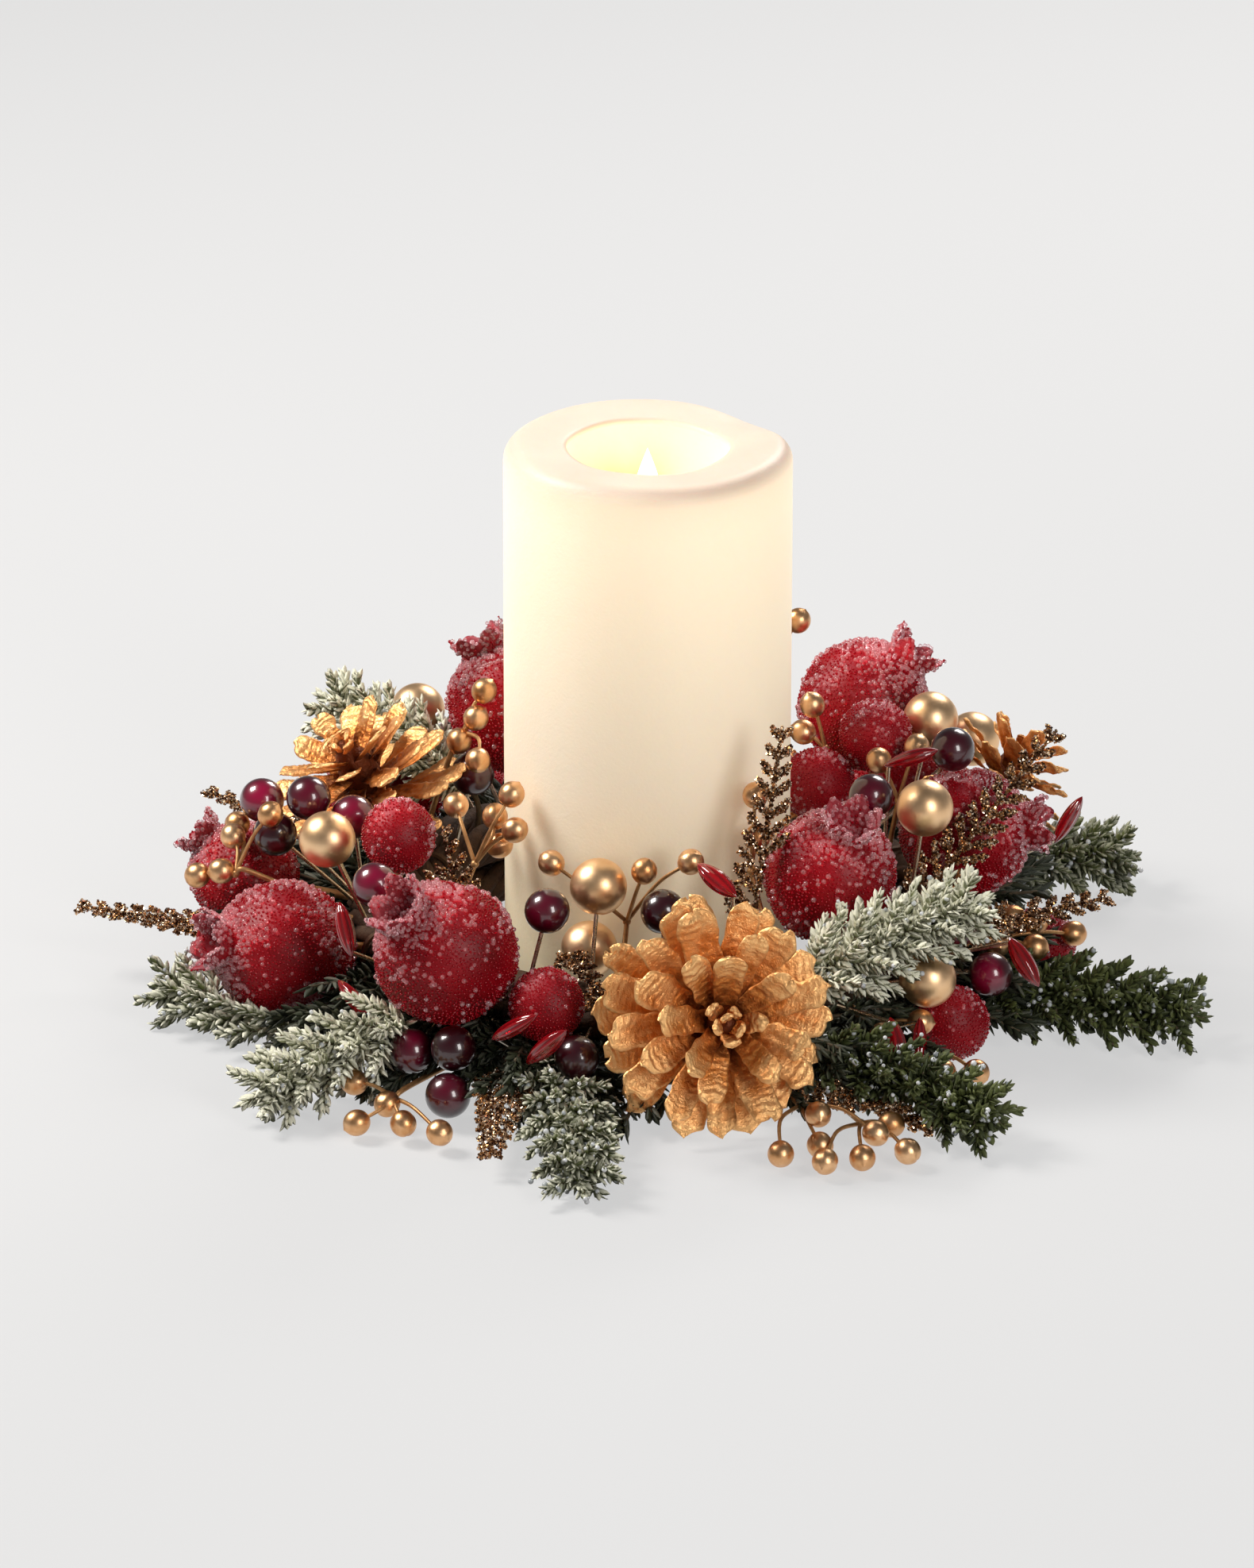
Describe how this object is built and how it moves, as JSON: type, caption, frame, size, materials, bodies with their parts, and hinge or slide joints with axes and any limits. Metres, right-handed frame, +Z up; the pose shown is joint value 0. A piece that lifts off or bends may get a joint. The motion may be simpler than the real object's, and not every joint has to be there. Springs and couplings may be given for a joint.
{
  "type": "candle ring",
  "caption": "Vine candle ring dressed with beaded fruit, cones, berries and frosted sprigs, round a battery pillar candle that lifts out.",
  "frame": {"origin": "centre of the candle's base, on the table", "axes": "+Z up along the candle, -Y towards the viewer (the front), +X to the viewer's right"},
  "size_m": [0.4011, 0.3877, 0.2032],
  "materials": {
    "wax": "creamy satin wax",
    "housing_plastic": "moulded, matt",
    "steel": "plated",
    "cell_jacket": "plain dark sleeve",
    "board": "green lacquer",
    "chip": "matt black",
    "can": "plain can",
    "lead": "insulated",
    "copper": "enamelled winding",
    "flame": "translucent, lit from below",
    "lamp": "clear lens, lit",
    "magnet": "plated",
    "vine": "rough bark",
    "tie_wire": "dull brown",
    "beaded_red": "deep red under clear micro beads",
    "gold_cone": "satin gold paint",
    "frosted_red": "red under frosted micro beads",
    "gold": "satin gold",
    "burgundy": "pearly, near black",
    "ruby": "clear red, ribbed",
    "stem": "paper-wrapped wire",
    "wire": "thin twisted wire",
    "needle": "grey-green with frost",
    "glitter": "white and gold glitter"
  },
  "bodies": {
    "ring": {"vine_hoop_inner_lower": "vine", "vine_hoop_outer_lower": "vine", "vine_hoop_inner_upper": "vine", "vine_hoop_outer_upper": "vine", "tie_bands": "tie_wire", "pomegranate_1": "beaded_red", "pomegranate_2": "beaded_red", "pomegranate_3": "beaded_red", "pomegranate_4": "beaded_red", "pomegranate_5": "beaded_red", "pomegranate_6": "beaded_red", "pomegranate_7": "beaded_red", "pomegranate_8": "beaded_red", "pomegranate_9": "beaded_red", "pine_cone_1": "gold_cone", "pine_cone_2": "gold_cone", "pine_cone_3": "gold_cone", "pine_cone_4": "gold_cone", "pine_cone_5": "gold_cone", "frosted_fruits": "frosted_red", "gold_balls": "gold", "burgundy_berries": "burgundy", "petal_beads": "ruby", "fruit_stems": "stem", "berry_wires": "wire", "gold_berries": "gold", "spray_stems": "stem", "pine_sprig_1": "needle", "pine_sprig_2": "needle", "pine_sprig_3": "needle", "pine_sprig_4": "needle", "pine_sprig_5": "needle", "pine_sprig_6": "needle", "pine_sprig_7": "needle", "pine_sprig_8": "needle", "pine_sprig_9": "needle", "glitter_ferns": "glitter"},
    "candle": {"wax_shell": "wax", "core_housing": "housing_plastic", "base_plate": "housing_plastic", "base_screws": "steel", "batteries": "cell_jacket", "top_contacts": "steel", "well_cap": "housing_plastic", "circuit_board": "board", "timer_chip": "chip", "capacitor": "can", "lead_wires": "lead", "switch_body": "housing_plastic", "light_tray": "housing_plastic", "drive_coil": "copper", "flame_collar": "housing_plastic", "pivot_wire": "steel", "flame_led": "lamp"},
    "battery_door": {"battery_door": "housing_plastic", "door_contact": "steel"},
    "switch_knob": {"switch_knob": "housing_plastic"},
    "flame": {"flame_leaf": "flame", "tail_magnet": "magnet"}
  },
  "joints": [
    {"name": "candle_lift", "type": "slide", "parent": "ring", "child": "candle", "axis": [0, 0, 1], "range_m": [0, 0.11]},
    {"name": "door_turn", "type": "hinge", "parent": "candle", "child": "battery_door", "pos_m": [0, 0, 0], "axis": [0, 0, 1], "range_deg": [0, 30]},
    {"name": "switch_slide", "type": "slide", "parent": "candle", "child": "switch_knob", "axis": [1, 0, 0], "range_m": [0, 0.006]},
    {"name": "flame_swing", "type": "hinge", "parent": "candle", "child": "flame", "pos_m": [0, 0, 0.173], "axis": [1, 0, 0], "range_deg": [-8, 8]}
  ]
}
